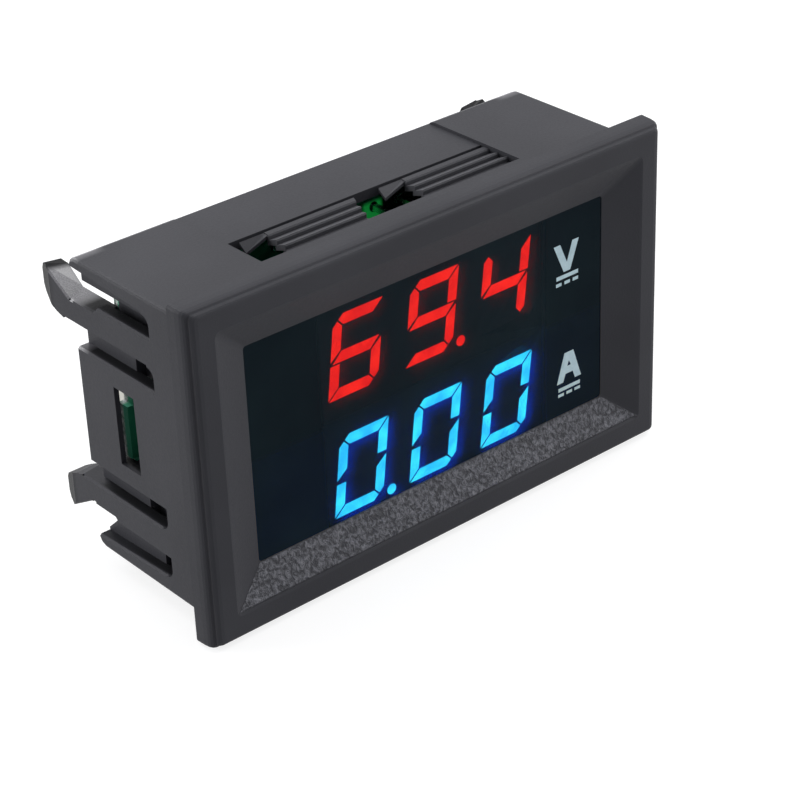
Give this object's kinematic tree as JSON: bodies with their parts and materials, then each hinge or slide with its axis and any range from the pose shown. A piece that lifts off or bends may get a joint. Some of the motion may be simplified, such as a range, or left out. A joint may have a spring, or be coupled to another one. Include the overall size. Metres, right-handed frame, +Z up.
{
  "type": "digital panel meter",
  "caption": "Snap-in digital panel meter with a two-line LED display: red volts above blue amperes, in a black moulded case with ratchet flaps and hooked rear clips.",
  "frame": {"origin": "centre of the panel cut-out, in the plane of the bezel's rear face that seats on the panel", "axes": "+X right as seen from the front, +Y to the rear through the panel, +Z up"},
  "size_m": [0.048, 0.0214, 0.029],
  "materials": {
    "case_abs": "fine spark-eroded texture",
    "smoked_filter": "polished, tinted",
    "display_resin": "smooth dark face",
    "segment_resin": "clear resin, unlit",
    "red_glow": "lit red",
    "blue_glow": "lit blue",
    "tinned": "bright tin plate",
    "board_green": "solder mask over glass epoxy",
    "solder": "bright solder",
    "chip_epoxy": "moulded epoxy",
    "tantalum_yellow": "moulded yellow resin",
    "resistor_black": "glazed",
    "capacitor_brown": "fired ceramic",
    "trimmer_blue": "moulded",
    "trimmer_metal": "stamped",
    "shunt_metal": "drawn alloy wire",
    "socket_white": "moulded nylon"
  },
  "bodies": {
    "meter": {"case": "case_abs", "window_filter": "smoked_filter", "voltage_display_body": "display_resin", "voltage_segments_lit": "red_glow", "voltage_segments_unlit": "segment_resin", "voltage_points_lit": "red_glow", "voltage_points_unlit": "segment_resin", "voltage_display_pins": "tinned", "current_display_body": "display_resin", "current_segments_lit": "blue_glow", "current_segments_unlit": "segment_resin", "current_points_lit": "blue_glow", "current_points_unlit": "segment_resin", "current_display_pins": "tinned", "main_board": "board_green", "solder_joints": "solder", "microcontroller_body": "chip_epoxy", "microcontroller_leads": "tinned", "op_amp_body": "chip_epoxy", "op_amp_leads": "tinned", "regulator_body": "chip_epoxy", "regulator_leads": "tinned", "diode_body": "chip_epoxy", "diode_tabs": "tinned", "tantalum_capacitor_body": "tantalum_yellow", "tantalum_capacitor_tabs": "tinned", "chip_resistors": "resistor_black", "chip_capacitors": "capacitor_brown", "chip_end_caps": "tinned", "voltage_trimmer_body": "trimmer_blue", "voltage_trimmer_tabs": "tinned", "current_trimmer_body": "trimmer_blue", "current_trimmer_tabs": "tinned", "shunt_wire": "shunt_metal", "load_socket_housing": "socket_white", "load_socket_pins": "tinned", "signal_socket_housing": "socket_white", "signal_socket_pins": "tinned"},
    "voltage_rotor": {"voltage_trimmer_rotor": "trimmer_metal"},
    "current_rotor": {"current_trimmer_rotor": "trimmer_metal"}
  },
  "joints": [
    {"name": "voltage_trimmer", "type": "hinge", "parent": "meter", "child": "voltage_rotor", "pos_m": [-0.0172, 0.01435, 0.0054], "axis": [0, 1, 0], "range_deg": [-115, 115]},
    {"name": "current_trimmer", "type": "hinge", "parent": "meter", "child": "current_rotor", "pos_m": [-0.0116, 0.01435, 0.0054], "axis": [0, 1, 0], "range_deg": [-115, 115]}
  ]
}
